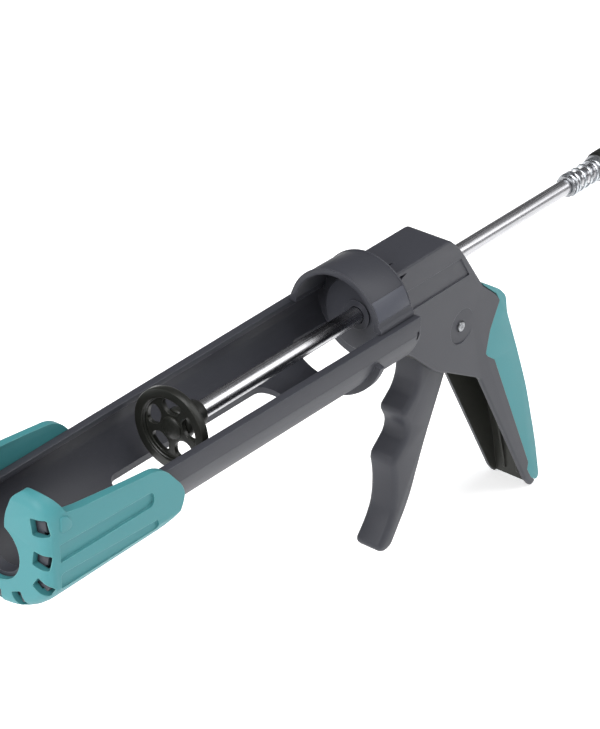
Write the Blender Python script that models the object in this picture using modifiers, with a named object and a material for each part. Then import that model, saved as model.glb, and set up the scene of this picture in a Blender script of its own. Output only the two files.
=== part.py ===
"""Caulking gun for cartridges 50 mm across, as an assembly of separate pieces.

Everything is drawn in the cradle's own frame, in millimetres turned to metres: x runs
along the cradle towards the nozzle from the front edge of the rear hoop, y points to
the gun's left side and z points up from the middle of the cradle's round bottom. The
push rod runs along x a little lower, at ROD_Z. The empty named cradle_axis carries the
frame, so the world origin is the web of the hand on the handle.
"""
import math

import bmesh
import bpy
from mathutils import Matrix, Vector

MM = 0.001

# Place of the cradle's frame, seen from the hand grip
GRIP_TO_HOOP = 140 * MM
GRIP_TO_CRADLE = 50 * MM

# Driving dimensions
SEAT_X = 240.0 * MM
NOSE_FRONT_X = 250.0 * MM
TRAY_BACK_X = -29.5 * MM
TRAY_R = 34.2 * MM
TRAY_INNER_R = 31.2 * MM
RAIL_HALF = 33.4 * MM
RAIL_TOP_Z = 3.1 * MM
LIP_INNER_HALF = 28.3 * MM
TAPER = 0.0173
BODY_HALF = 14.5 * MM
POCKET_HALF = 11.7 * MM
TRIGGER_HALF = 9.0 * MM
GAP = 0.3 * MM
PIVOT = (-95.7 * MM, -38.3 * MM)
LEVER_PIVOT = (-41.2 * MM, 12.5 * MM)
DRIVE_PLATE_X = -82.3 * MM
ROD_Z = -3.5 * MM
ROD_END_X = -262.0 * MM
ROUND_STEPS = 24

# Finishes: base colour, metallic, roughness
FINISHES = {
    "housing_plastic": ((0.075, 0.080, 0.095), 0.0, 0.45),
    "soft_teal": ((0.10, 0.36, 0.35), 0.0, 0.55),
    "black_plastic": ((0.020, 0.020, 0.018), 0.0, 0.40),
    "zinc_steel": ((0.62, 0.62, 0.63), 1.0, 0.28),
    "spring_steel": ((0.55, 0.56, 0.58), 1.0, 0.30),
    "bush_plastic": ((0.60, 0.58, 0.52), 0.0, 0.45),
}

for old in list(bpy.data.objects):
    bpy.data.objects.remove(old, do_unlink=True)

PARTS = bpy.data.collections.new("caulking_gun")
CUTTERS = bpy.data.collections.new("cutters")
bpy.context.scene.collection.children.link(PARTS)
bpy.context.scene.collection.children.link(CUTTERS)

CRADLE_AXIS = bpy.data.objects.new("cradle_axis", None)
CRADLE_AXIS.location = (GRIP_TO_HOOP, 0, GRIP_TO_CRADLE)
PARTS.objects.link(CRADLE_AXIS)


# ---------------------------------------------------------------- helpers

def finish(name):
    """The named material, made on first use."""
    if name in bpy.data.materials:
        return bpy.data.materials[name]
    colour, metallic, roughness = FINISHES[name]
    material = bpy.data.materials.new(name)
    material.use_nodes = True
    shader = material.node_tree.nodes["Principled BSDF"]
    shader.inputs["Base Color"].default_value = (*colour, 1)
    shader.inputs["Metallic"].default_value = metallic
    shader.inputs["Roughness"].default_value = roughness
    return material


def place(mesh, name, material, pivot=(0, 0), smooth=False):
    """A part from a mesh drawn in the cradle's frame, with its origin at pivot (x, z)."""
    mesh.name = name
    mesh.transform(Matrix.Translation((-pivot[0], 0, -pivot[1])))
    if smooth:
        mesh.shade_smooth()
        mesh.set_sharp_from_angle(angle=math.radians(35))
    part = bpy.data.objects.new(name, mesh)
    part.location = (pivot[0], 0, pivot[1])
    part.parent = CRADLE_AXIS
    part.data.materials.append(finish(material))
    PARTS.objects.link(part)
    return part


def cutter(mesh, name):
    """A tool body that other parts are cut by or joined to."""
    tool = bpy.data.objects.new(name, mesh)
    tool.parent = CRADLE_AXIS
    tool.hide_render = True
    tool.display_type = "WIRE"
    CUTTERS.objects.link(tool)
    return tool


def combine(part, tool, operation):
    step = part.modifiers.new(tool.name, "BOOLEAN")
    step.operation = operation
    step.object = tool


def cut(part, mesh, name):
    combine(part, cutter(mesh, name), "DIFFERENCE")


def join(part, mesh, name):
    combine(part, cutter(mesh, name), "UNION")


def keep(part, mesh, name):
    combine(part, cutter(mesh, name), "INTERSECT")


def arc(centre, radius, start, end, steps):
    """Points on a circle from start to end, in degrees, with both ends."""
    points = []
    for i in range(steps + 1):
        angle = math.radians(start + (end - start) * i / steps)
        point = (centre[0] + radius * math.cos(angle), centre[1] + radius * math.sin(angle))
        points.append(point)
    return points


def in_mm(points):
    return [(a * MM, b * MM) for a, b in points]


def sharp(points):
    """Outline points in mm that rounded() leaves as they are."""
    return [(a, b, 0) for a, b in points]


def rounded(corners, steps=3):
    """A closed outline in mm whose corners (a, b, radius) are rounded."""
    outline = []
    for i, (a, b, radius) in enumerate(corners):
        here = Vector((a, b))
        if radius == 0:
            outline.append(here)
            continue
        before = (Vector(corners[i - 1][:2]) - here).normalized()
        after = (Vector(corners[(i + 1) % len(corners)][:2]) - here).normalized()
        half = before.angle(after) / 2
        reach = radius / math.tan(half)
        centre = here + (before + after).normalized() * radius / math.sin(half)
        first = here + before * reach - centre
        last = here + after * reach - centre
        for k in range(steps + 1):
            outline.append(centre + first.slerp(last, k / steps).normalized() * radius)
    return in_mm([(point.x, point.y) for point in outline])


def offset_line(points, distance):
    """An open line moved sideways by distance, to the left of its direction."""
    moved = []
    for i, point in enumerate(points):
        before = Vector(points[max(i - 1, 0)])
        after = Vector(points[min(i + 1, len(points) - 1)])
        along = (after - before).normalized()
        moved.append((point[0] - along.y * distance, point[1] + along.x * distance))
    return moved


def flat_plate(outline, thickness, holes=()):
    """A mesh in the local XY plane, filled between an outline and its holes."""
    curve = bpy.data.curves.new("outline", "CURVE")
    curve.dimensions = "2D"
    curve.fill_mode = "BOTH"
    curve.extrude = thickness / 2
    curve.resolution_u = 1
    curve.render_resolution_u = 0
    for loop in (outline, *holes):
        spline = curve.splines.new("POLY")
        spline.points.add(len(loop) - 1)
        spline.use_cyclic_u = True
        for point, (a, b) in zip(spline.points, loop):
            point.co = (a, b, 0, 1)
    holder = bpy.data.objects.new("outline", curve)
    CUTTERS.objects.link(holder)
    mesh = bpy.data.meshes.new_from_object(holder.evaluated_get(
        bpy.context.evaluated_depsgraph_get()))
    bpy.data.objects.remove(holder)
    weld(mesh)
    return mesh


def weld(mesh):
    shape = bmesh.new()
    shape.from_mesh(mesh)
    bmesh.ops.remove_doubles(shape, verts=shape.verts, dist=0.00001)
    bmesh.ops.recalc_face_normals(shape, faces=shape.faces)
    shape.to_mesh(mesh)
    shape.free()


def side_plate(outline, half, middle=0.0, holes=()):
    """An outline of (x, z) points given a thickness of 2 * half along y."""
    mesh = flat_plate(outline, 2 * half, holes)
    mesh.transform(Matrix.Translation((0, middle, 0)) @ Matrix.Rotation(math.pi / 2, 4, "X"))
    return mesh


def cross_plate(outline, x_low, x_high, holes=()):
    """An outline of (y, z) points given a thickness along x."""
    mesh = flat_plate(outline, x_high - x_low, holes)
    stand = Matrix(((0, 0, 1, 0), (1, 0, 0, 0), (0, 1, 0, 0), (0, 0, 0, 1)))
    mesh.transform(Matrix.Translation(((x_low + x_high) / 2, 0, 0)) @ stand)
    return mesh


def floor_plate(outline, z_low, z_high):
    """An outline of (x, y) points given a thickness along z."""
    mesh = flat_plate(outline, z_high - z_low)
    mesh.transform(Matrix.Translation((0, 0, (z_low + z_high) / 2)))
    return mesh


def round_bar(radius, low, high, axis="X", centre=(0, 0), steps=ROUND_STEPS):
    """A cylinder along x at (y, z) = centre, or along y at (x, z) = centre."""
    shape = bmesh.new()
    bmesh.ops.create_cone(shape, cap_ends=True, segments=steps, radius1=radius,
                          radius2=radius, depth=high - low)
    mesh = bpy.data.meshes.new("bar")
    shape.to_mesh(mesh)
    shape.free()
    middle = (low + high) / 2
    if axis == "X":
        mesh.transform(Matrix.Translation((middle, *centre))
                       @ Matrix.Rotation(math.pi / 2, 4, "Y"))
    else:
        mesh.transform(Matrix.Translation((centre[0], middle, centre[1]))
                       @ Matrix.Rotation(math.pi / 2, 4, "X"))
    return mesh


def turned(profile, name, material, steps=ROUND_STEPS):
    """A ring or bar about the rod's axis from a closed profile of (radius, x) in mm."""
    shape = bmesh.new()
    loop = [shape.verts.new((radius * MM, 0, x * MM)) for radius, x in profile]
    for i, vertex in enumerate(loop):
        shape.edges.new((vertex, loop[(i + 1) % len(loop)]))
    mesh = bpy.data.meshes.new(name)
    shape.to_mesh(mesh)
    shape.free()
    part = bpy.data.objects.new(name, mesh)
    part.location = (0, 0, ROD_Z)
    part.rotation_euler = (0, math.pi / 2, 0)
    part.parent = CRADLE_AXIS
    part.data.materials.append(finish(material))
    PARTS.objects.link(part)
    turn = part.modifiers.new("turn", "SCREW")
    turn.steps = steps
    turn.render_steps = steps
    turn.use_merge_vertices = True
    turn.merge_threshold = 0.00001
    return part


def ring(name, material, inner, outer, low, high):
    """A plain turned ring, drawn from the top of its outer side down."""
    return turned([(outer, high), (outer, low), (inner, low), (inner, high)], name, material)


def coil(name, x_low, x_high, radius, wire, turns, per_turn=12):
    """A spring about the rod, with its ends closed against the last turn."""
    curve = bpy.data.curves.new(name, "CURVE")
    curve.dimensions = "3D"
    curve.bevel_depth = wire / 2
    curve.bevel_resolution = 1
    curve.use_fill_caps = True
    curve.render_resolution_u = 0
    count = turns * per_turn
    spline = curve.splines.new("POLY")
    spline.points.add(count)
    run = x_high - x_low - wire
    for i, point in enumerate(spline.points):
        angle = 2 * math.pi * i / per_turn
        x = x_low + wire / 2 + run * i / count
        point.co = (x, radius * math.cos(angle), ROD_Z + radius * math.sin(angle), 1)
    holder = bpy.data.objects.new(name, curve)
    CUTTERS.objects.link(holder)
    mesh = bpy.data.meshes.new_from_object(holder.evaluated_get(
        bpy.context.evaluated_depsgraph_get()))
    bpy.data.objects.remove(holder)
    weld(mesh)
    return place(mesh, name, "spring_steel", smooth=True)


def soften(part, width, segments=2, angle=40):
    """Rounded edges, put on before the cuts."""
    bevel = part.modifiers.new("round_edges", "BEVEL")
    bevel.width = width
    bevel.segments = segments
    bevel.limit_method = "ANGLE"
    bevel.angle_limit = math.radians(angle)


# ---------------------------------------------------------------- cradle

def tray_outline(grow=0.0, top=RAIL_TOP_Z):
    """The tray's outer section in (y, z): flat sides over a round bottom."""
    half = RAIL_HALF + grow
    radius = TRAY_R + grow
    side = math.degrees(math.acos(half / radius))
    return [(half, top), *arc((0, 0), radius, -side, side - 180, 20), (-half, top)]


def tapered(mesh):
    """Narrow a shape towards the nose, as the rails do."""
    for vertex in mesh.vertices:
        vertex.co.y *= 1 - TAPER * vertex.co.x / RAIL_HALF
    return mesh


def make_cradle():
    wall_z = -2.0 * MM
    lip_low = RAIL_TOP_Z - 3.0 * MM
    side = math.degrees(math.asin(-wall_z / TRAY_INNER_R))
    inner = arc((0, 0), TRAY_INNER_R, side - 180, -side, 20)
    half = inner[-1][0]
    section = [
        *tray_outline(),
        (-LIP_INNER_HALF, RAIL_TOP_Z), (-LIP_INNER_HALF, lip_low), (-half, lip_low),
        *inner,
        (half, lip_low), (LIP_INNER_HALF, lip_low), (LIP_INNER_HALF, RAIL_TOP_Z),
    ]
    tray = place(tapered(cross_plate(section, TRAY_BACK_X, SEAT_X - GAP)),
                 "cradle", "housing_plastic", smooth=True)
    flange = [*arc((0, 0), 37.7 * MM, -162, -18, 18), *arc((0, 0), 32.7 * MM, -18, -162, 18)]
    join(tray, cross_plate(flange, 3.5 * MM, 7.0 * MM), "flange")
    half_turn = arc((0, 0), 32.7 * MM, -176, -4, 18)
    socket = arc((0, ROD_Z), 21.7 * MM, -182, 2, 16)
    wall = [(-half_turn[-1][0], lip_low), *half_turn, (half_turn[-1][0], lip_low),
            (socket[-1][0], lip_low), *reversed(socket), (socket[0][0], lip_low)]
    join(tray, cross_plate(wall, TRAY_BACK_X + 0.1 * MM, -26.5 * MM), "back_wall")
    long_slot = rounded([(34, -17, 10), (156, -17, 5), (156, 17, 5), (34, 17, 10)])
    cut(tray, floor_plate(long_slot, -45 * MM, -15 * MM), "long_slot")
    back_slot = rounded([(-26.6, -25, 0), (3.4, -25, 0), (3.4, 25, 0), (-26.6, 25, 0)])
    cut(tray, floor_plate(back_slot, -45 * MM, -15 * MM), "back_slot")


def make_hoop():
    """The band over the cartridge's base, with feet on the rails and a back wall."""
    foot_z = RAIL_TOP_Z + GAP
    centre = (0, 0.7 * MM)
    outer = arc(centre, 28.9 * MM, 12, 168, 24)
    inner = arc(centre, 25.8 * MM, 174, 6, 24)
    section = [(30.4 * MM, foot_z), (30.4 * MM, 5.6 * MM), *outer,
               (-30.4 * MM, 5.6 * MM), (-30.4 * MM, foot_z), *inner]
    hoop = place(cross_plate(section, -28.5 * MM, 0), "rear_hoop", "housing_plastic", smooth=True)
    hub = arc((0, ROD_Z), 21.7 * MM, 161, 19, 16)
    wall = [(27.2 * MM, foot_z), *arc(centre, 27.4 * MM, 8, 172, 20), (-27.2 * MM, foot_z),
            (hub[0][0], foot_z), *hub, (hub[-1][0], foot_z)]
    join(hoop, cross_plate(wall, -28.4 * MM, -25.5 * MM), "hoop_wall")


# ---------------------------------------------------------------- nose

SLOT_CENTRE_Z = -9.0 * MM


def keyhole(radius, neck):
    """The nozzle's slot in (y, z): a round seat with a neck open at the top."""
    meet = math.degrees(math.acos(neck / radius))
    top = 45 * MM
    return [(neck, top), (-neck, top),
            *arc((0, SLOT_CENTRE_Z), radius, 180 - meet, 360 + meet, 24)]


def make_nose_plate():
    half, radius = 28.9, 33.6
    side = math.degrees(math.acos(half / radius))
    section = rounded([
        *sharp(arc((0, 0), radius, side - 180, -side, 24)),
        (half, 23, 9), (14, 23, 4), (12, 0, 0),
        (-12, 0, 0), (-14, 23, 4), (-half, 23, 9)])
    plate = place(cross_plate(section, SEAT_X, NOSE_FRONT_X - 3.6 * MM),
                  "nose_plate", "housing_plastic", smooth=True)
    cut(plate, cross_plate(keyhole(14.0 * MM, 8.0 * MM), 230 * MM, 260 * MM), "plate_slot")


def make_nose_cover():
    """The soft shell: a section along x, trimmed by a side outline, then hollowed."""
    half, radius = 35.0, 40.0
    side = math.degrees(math.acos(half / radius))
    section = rounded([
        *sharp(arc((0, 0), radius, side - 180, -side, 28)),
        (half, 26, 12), (14, 26, 4), (9, 5, 0), (9, -5, 0),
        (-9, -5, 0), (-9, 5, 0), (-14, 26, 4), (-half, 26, 12)])
    cover = place(cross_plate(section, 150 * MM, NOSE_FRONT_X), "nose_cover", "soft_teal",
                  smooth=True)
    profile = rounded([(173, 10.5, 7), (233, 12.0, 5), (240, 29, 0), (256, 29, 0),
                       (256, -46, 0), (178, -46, 0), (172, -27, 10), (159, -19, 7),
                       (157.5, -8, 5)], steps=4)
    keep(cover, side_plate(profile, 50 * MM), "side_profile")
    lining = [(31 * MM, 45 * MM), (31 * MM, -14.7 * MM),
              *arc((0, 0), TRAY_R + 0.3 * MM, -25.5, -154.5, 20),
              (-31 * MM, -14.7 * MM), (-31 * MM, 45 * MM)]
    cut(cover, cross_plate(lining, 140 * MM, NOSE_FRONT_X - 3.3 * MM), "lining")
    cut(cover, cross_plate(keyhole(16.0 * MM, 7.5 * MM), 230 * MM, 260 * MM), "cover_slot")
    for index, angle in enumerate((8, -17, -40, -62, -90, -118, -140, -163, 172)):
        window = rounded([(33, -3, 1), (46, -3, 0), (46, 3, 0), (33, 3, 1)])
        mesh = cross_plate(window, 243.5 * MM, 252 * MM)
        mesh.transform(Matrix.Rotation(math.radians(angle), 4, "X"))
        cut(cover, mesh, "window_%d" % index)


# ---------------------------------------------------------------- body and handle

# Outer line of the handle's back in (x, z), from the tang down to the tip
HANDLE_BACK = [(-115.2, -19.8), (-123.5, -24.6), (-131.8, -30.0), (-137.0, -35.2),
               (-139.2, -41.0), (-140.2, -47.8), (-144.0, -57.8), (-150.1, -70.1),
               (-156.7, -86.1), (-164.8, -106.2), (-171.9, -126.3), (-178.5, -149.9),
               (-183.7, -169.8), (-185.0, -177.0)]
# Back of the hard plastic under the soft cover: the tang, then a steady depth below it
COVER_WRAP = 3.0
TANG = [(-115.0, -20.6), (-122.0, -26.2), (-128.6, -31.6), (-134.2, -37.6)]
GREY_BACK = [*TANG, *offset_line(HANDLE_BACK[4:], COVER_WRAP)]
# Edge where the soft cover meets the hard plastic on the sides
COVER_EDGE = [*TANG[:3], (-132.0, -37.2), (-128.2, -44.7), (-124.0, -52.4),
              (-121.2, -65.2), (-122.4, -68.3), (-129.8, -74.1), (-132.1, -78.4),
              (-172.4, -162.3), (-171.9, -167.6), (-176.9, -175.6)]
# Front line of the handle's two walls
HANDLE_FRONT_TOP = (-117.7, -81.7)
HANDLE_FRONT_TIP = (-171.6, -175.1)
COVER_SIDE = 1.3 * MM


def make_body():
    outline = in_mm([(-29.8, 19.6), (-81.6, 19.9), (-83.6, 19.2), (-90.0, 12.8),
                     (-97.7, 3.3), (-113.5, -18.5), *GREY_BACK,
                     (-182.1, -179.6), (-180.8, -181.8), (-177.4, -181.2),
                     HANDLE_FRONT_TIP, HANDLE_FRONT_TOP, (-114.0, -79.0), (-83.9, -62.3),
                     (-76.0, -58.6), (-69.4, -53.6), (-50.5, -37.2), (-46.0, -34.6),
                     (-29.8, -33.8)])
    body = place(side_plate(outline, BODY_HALF), "body_housing", "housing_plastic", smooth=True)
    soften(body, 1.0 * MM, segments=2)
    hub = round_bar(21.3 * MM, TRAY_BACK_X - 2 * MM, -20 * MM, centre=(0, ROD_Z), steps=32)
    join(body, hub, "hub")

    channel_back = offset_line(GREY_BACK[4:], COVER_WRAP)
    pocket = in_mm([(-33.0, 16.8), (-81.0, 16.8), (-88.0, 10.3), (-94.6, 2.0),
                    (-110.4, -20.2), (-124.8, -32.4), (-129.8, -38.4), *channel_back,
                    (-181.0, -190.0),
                    (-150.0, -190.0), (-108.0, -88.0), (-57.0, -60.0), (-57.0, -38.8),
                    (-48.6, -32.4), (-45.0, -30.9), (-33.0, -30.6)])
    cut(body, side_plate(pocket, POCKET_HALF), "pocket")

    # Two inner ribs stiffen the lower half of the handle
    rib_front = [(-161.0, -122.0), (-171.5, -172.0), (-179.0, -180.0)]
    rib_back = [(-180.6, -176.5), (-165.0, -119.0)]
    for side in (-1, 1):
        rib = side_plate(in_mm([*rib_front, *rib_back]), 0.9 * MM, side * 4.8 * MM)
        join(body, rib, "rib_%s" % ("left" if side > 0 else "right"))

    # The web behind the release lever seats both springs
    web = [(12.2 * MM, 17.5 * MM), (-12.2 * MM, 17.5 * MM),
           (-12.2 * MM, -14 * MM), (12.2 * MM, -14 * MM)]
    join(body, cross_plate(web, -50 * MM, -47 * MM), "spring_web")

    # Rebate for the sides of the soft cover
    outside = offset_line(HANDLE_BACK[2:], -8)
    rebate = in_mm([*COVER_EDGE[2:], (-181.5, -179.3), (-190.0, -180.0), *reversed(outside)])
    for side in (-1, 1):
        mesh = side_plate(rebate, 3 * MM, side * (BODY_HALF - COVER_SIDE - GAP + 3 * MM))
        cut(body, mesh, "rebate_%s" % ("left" if side > 0 else "right"))

    for name, radius, low, high in (("front_bore", 7.3, -35, -15), ("web_bore", 5.4, -55, -40),
                                    ("rear_bore", 6.3, -118, -91)):
        cut(body, round_bar(radius * MM, low * MM, high * MM, centre=(0, ROD_Z)), name)
    cut(body, round_bar(3.2 * MM, -20 * MM, 20 * MM, "Y", PIVOT, 20), "pin_bore")
    tab_slot = rounded([(-48.5, -5.6, 0), (-37.5, -5.6, 0), (-37.5, 5.6, 0), (-48.5, 5.6, 0)])
    cut(body, floor_plate(tab_slot, -40 * MM, -28 * MM), "tab_slot")


def make_handle_cover():
    """The soft overlay: full width behind the handle, thin on its two sides."""
    outline = in_mm([*HANDLE_BACK, (-183.6, -178.8), (-181.5, -178.9),
                     *reversed(offset_line(COVER_EDGE, -0.3))])
    cover = place(side_plate(outline, BODY_HALF), "handle_cover", "soft_teal", smooth=True)
    soften(cover, 0.8 * MM, segments=2)
    core = in_mm([*offset_line(GREY_BACK, -0.3), (-182.6, -190.0),
                  (-150.0, -190.0), (-100.0, -60.0)])
    cut(cover, side_plate(core, BODY_HALF - COVER_SIDE), "cover_core")


# ---------------------------------------------------------------- trigger group

def make_trigger():
    """Finger-grooved lever about the pin, with an arm above the pin that drives the plate."""
    outline = in_mm([
        *arc((-87.7, -12.6), 3.0, 150, 0, 6), (-84.7, -21.0), (-82.0, -25.5),
        (-72.6, -36.4), (-67.1, -43.9), (-65.1, -58.7), (-64.5, -63.4), (-62.0, -68.5),
        (-57.8, -72.7), (-54.4, -75.9), (-53.8, -78.9), (-55.6, -82.9), (-57.2, -88.0),
        (-56.1, -93.8), (-53.2, -99.0), (-48.0, -102.9), (-46.0, -106.3),
        (-46.7, -111.4), (-47.9, -120.3), (-47.4, -129.7), (-45.6, -138.4),
        (-41.5, -148.0), (-35.2, -154.5), (-36.1, -157.1), (-40.6, -159.2),
        (-45.1, -158.9), (-48.6, -155.5), (-53.3, -150.4), (-61.9, -136.1), (-68.4, -119.5),
        (-75.0, -103.1), (-83.1, -84.4), (-91.0, -69.2), (-99.6, -53.9),
        *arc((-95.7, -38.3), 9.5, 235, 150, 5), (-93.0, -18.0)])
    trigger = place(side_plate(outline, TRIGGER_HALF), "trigger", "housing_plastic",
                    pivot=PIVOT, smooth=True)
    soften(trigger, 2.2 * MM, segments=3, angle=60)
    hub = round_bar(8.5 * MM, GAP - POCKET_HALF, POCKET_HALF - GAP, "Y", PIVOT)
    join(trigger, hub, "trigger_hub")
    cut(trigger, round_bar(3.3 * MM, -20 * MM, 20 * MM, "Y", PIVOT, 20), "trigger_bore")


def make_pin():
    pin = round_bar(2.9 * MM, -16.4 * MM, 15.0 * MM, "Y", PIVOT, 20)
    place(pin, "trigger_pin", "zinc_steel", smooth=True)
    washer = side_plate(arc(PIVOT, 6.0 * MM, 0, 345, 23), 0.5 * MM, -15.4 * MM,
                        holes=(arc(PIVOT, 3.2 * MM, 0, 345, 23),))
    place(washer, "pin_retainer", "zinc_steel", smooth=True)


def make_drive_parts():
    hole = arc((0, ROD_Z), 5.0 * MM, 0, 345, 23)
    plate = rounded([(9.5, -19.5, 2), (9.5, 10, 3), (-9.5, 10, 3), (-9.5, -19.5, 2)])
    drive = cross_plate(plate, DRIVE_PLATE_X - 1.5 * MM, DRIVE_PLATE_X + 1.5 * MM, (hole,))
    place(drive, "drive_plate", "zinc_steel", smooth=True)
    coil("drive_spring", DRIVE_PLATE_X + 1.8 * MM, -50.3 * MM, 7.0 * MM, 1.3 * MM, 7)

    wide = arc((0, ROD_Z), 5.3 * MM, 0, 345, 23)
    tab = rounded([(9, -24, 2), (9, 15, 3), (-9, 15, 3), (-9, -24, 2), (-5, -27, 0),
                   (-5, -40.5, 2), (5, -40.5, 2), (5, -27, 0)])
    lever = cross_plate(tab, -42.4 * MM, -40.0 * MM, (wide,))
    place(lever, "release_lever", "zinc_steel", pivot=LEVER_PIVOT, smooth=True)
    coil("brake_spring", -46.7 * MM, -42.8 * MM, 7.0 * MM, 1.0 * MM, 2)


# ---------------------------------------------------------------- rod group

def make_rod_parts():
    turned([(4.6, 126.2), (4.6, ROD_END_X / MM + 0.6), (4.0, ROD_END_X / MM), (0, ROD_END_X / MM),
            (0, 126.7), (4.1, 126.7)], "push_rod", "zinc_steel")
    disc = turned([(22.0, 129.4), (22.0, 125.6), (21.4, 125.0), (4.9, 125.0), (4.9, 127.0),
                   (0, 127.0), (0, 129.0), (6.5, 129.0), (8.0, 127.6), (16.6, 127.6),
                   (17.4, 130.1), (21.3, 130.1)], "plunger_disc", "black_plastic", steps=36)
    for index in range(5):
        middle = 90 + 72 * index
        hole = [*arc((0, ROD_Z), 15.6 * MM, middle - 22, middle + 22, 5),
                *arc((0, ROD_Z), 9.2 * MM, middle + 20, middle - 20, 3)]
        cut(disc, cross_plate(hole, 120 * MM, 135 * MM), "spoke_gap_%d" % index)
    turned([(8.6, 124.0), (8.6, 119.5), (7.2, 118.0), (7.2, 108.6), (6.6, 108.0), (4.9, 108.0),
            (4.9, 124.7), (7.9, 124.7)], "plunger_collar", "black_plastic")
    ring("spring_seat", "zinc_steel", 4.9, 6.3, -216.9, -215.9)
    coil("bumper_spring", -247.0 * MM, -217.2 * MM, 6.3 * MM, 1.4 * MM, 5)
    ring("stop_washer", "zinc_steel", 4.9, 8.0, -248.6, -247.3)
    turned([(8.0, -249.6), (9.0, -251.0), (9.0, -264.0), (7.5, -266.5), (0, -266.5),
            (0, ROD_END_X / MM - 0.3), (4.9, ROD_END_X / MM - 0.3), (4.9, -248.9), (7.3, -248.9)],
           "end_knob", "black_plastic")


def make_bushes():
    turned([(8.4, -18.9), (8.4, -19.6), (7.0, -19.7), (7.0, -32.6), (4.9, -32.6), (4.9, -18.9)],
           "front_bush", "bush_plastic")
    turned([(6.0, -96.6), (6.0, -103.0), (5.6, -103.4), (4.9, -103.4), (4.9, -96.6)],
           "rear_bush", "bush_plastic")


make_cradle()
make_hoop()
make_nose_plate()
make_nose_cover()
make_body()
make_handle_cover()
make_trigger()
make_pin()
make_drive_parts()
make_rod_parts()
make_bushes()
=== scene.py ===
# %% [markdown]
# # A caulking gun, piece by piece
# The finished engineering model of the gun is loaded first and stays where it is. Every
# visible part is then drawn again with the roundings, grooves and surface finish that the
# real mouldings have, in millimetres along the cradle, and placed by one matrix.

# %% Load the engineering model
import math

import bmesh
import bpy
from mathutils import Matrix, Vector


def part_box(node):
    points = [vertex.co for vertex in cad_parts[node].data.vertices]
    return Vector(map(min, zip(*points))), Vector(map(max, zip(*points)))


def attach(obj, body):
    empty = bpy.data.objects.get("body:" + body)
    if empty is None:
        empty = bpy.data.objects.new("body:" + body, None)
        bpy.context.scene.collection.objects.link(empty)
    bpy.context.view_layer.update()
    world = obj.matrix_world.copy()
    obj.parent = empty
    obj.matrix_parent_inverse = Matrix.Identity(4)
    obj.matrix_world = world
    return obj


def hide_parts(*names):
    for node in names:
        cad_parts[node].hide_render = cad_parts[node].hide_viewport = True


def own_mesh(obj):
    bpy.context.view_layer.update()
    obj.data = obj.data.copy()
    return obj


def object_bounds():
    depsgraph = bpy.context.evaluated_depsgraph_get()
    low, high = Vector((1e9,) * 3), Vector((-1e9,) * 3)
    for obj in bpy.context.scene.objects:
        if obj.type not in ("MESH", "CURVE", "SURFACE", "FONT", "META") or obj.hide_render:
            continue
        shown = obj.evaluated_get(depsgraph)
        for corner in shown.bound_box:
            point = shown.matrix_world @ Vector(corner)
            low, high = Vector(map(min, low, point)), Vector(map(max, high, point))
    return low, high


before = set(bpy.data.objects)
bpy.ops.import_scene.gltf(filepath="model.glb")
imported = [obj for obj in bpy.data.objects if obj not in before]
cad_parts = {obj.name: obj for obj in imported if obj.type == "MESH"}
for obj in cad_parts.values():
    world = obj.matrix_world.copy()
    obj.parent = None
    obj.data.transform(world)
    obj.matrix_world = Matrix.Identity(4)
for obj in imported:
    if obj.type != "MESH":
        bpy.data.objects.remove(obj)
cad_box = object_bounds()
print("CAD box in metres:", [[round(value, 4) for value in corner] for corner in cad_box])

# %% [markdown]
# All shapes are drawn in the cradle's own frame: x runs along the cradle to the nose,
# starting at the front edge of the rear hoop, y points to the gun's left and z is up from
# the axis of the cradle's round bottom. Working in millimetres keeps the numbers readable,
# and a single matrix turns the drawing into metres in the model's frame. The push rod runs
# parallel to the cradle's axis and a little below it.

# %% The cradle's frame
RAIL_TOP = 3.1
ROD_DROP = (0, 0, -3.5)
HOOP_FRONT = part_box("rear_hoop")[1].x
CRADLE_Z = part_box("cradle")[1].z - RAIL_TOP / 1000
CRADLE_FRAME = Matrix.Translation((HOOP_FRONT, 0, CRADLE_Z)) @ Matrix.Scale(0.001, 4)
print("cradle axis height", round(CRADLE_Z, 4), "hoop front", round(HOOP_FRONT, 4))


def span(node):
    """Where a node begins and ends along the cradle, in millimetres."""
    return [(corner.x - HOOP_FRONT) * 1000 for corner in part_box(node)]


# %% [markdown]
# Shader maths is easier to read as sums than as a tangle of nodes. A Signal stands for one
# output socket, and adding or multiplying two of them places a Math node. Anything that
# isn't a sum goes through Paint.node, which takes the node's type, its settings and what
# its inputs hold.

# %% Shader helpers
class Signal:
    """One output socket that can be added, multiplied and subtracted."""

    def __init__(self, paint, socket):
        self.paint = paint
        self.socket = socket

    def maths(self, operation, first, second):
        return self.paint.node("ShaderNodeMath", {"operation": operation}, {0: first, 1: second})

    def __add__(self, other):
        return self.maths("ADD", self, other)

    __radd__ = __add__

    def __sub__(self, other):
        return self.maths("SUBTRACT", self, other)

    def __rsub__(self, other):
        return self.maths("SUBTRACT", other, self)

    def __mul__(self, other):
        return self.maths("MULTIPLY", self, other)

    __rmul__ = __mul__


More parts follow.
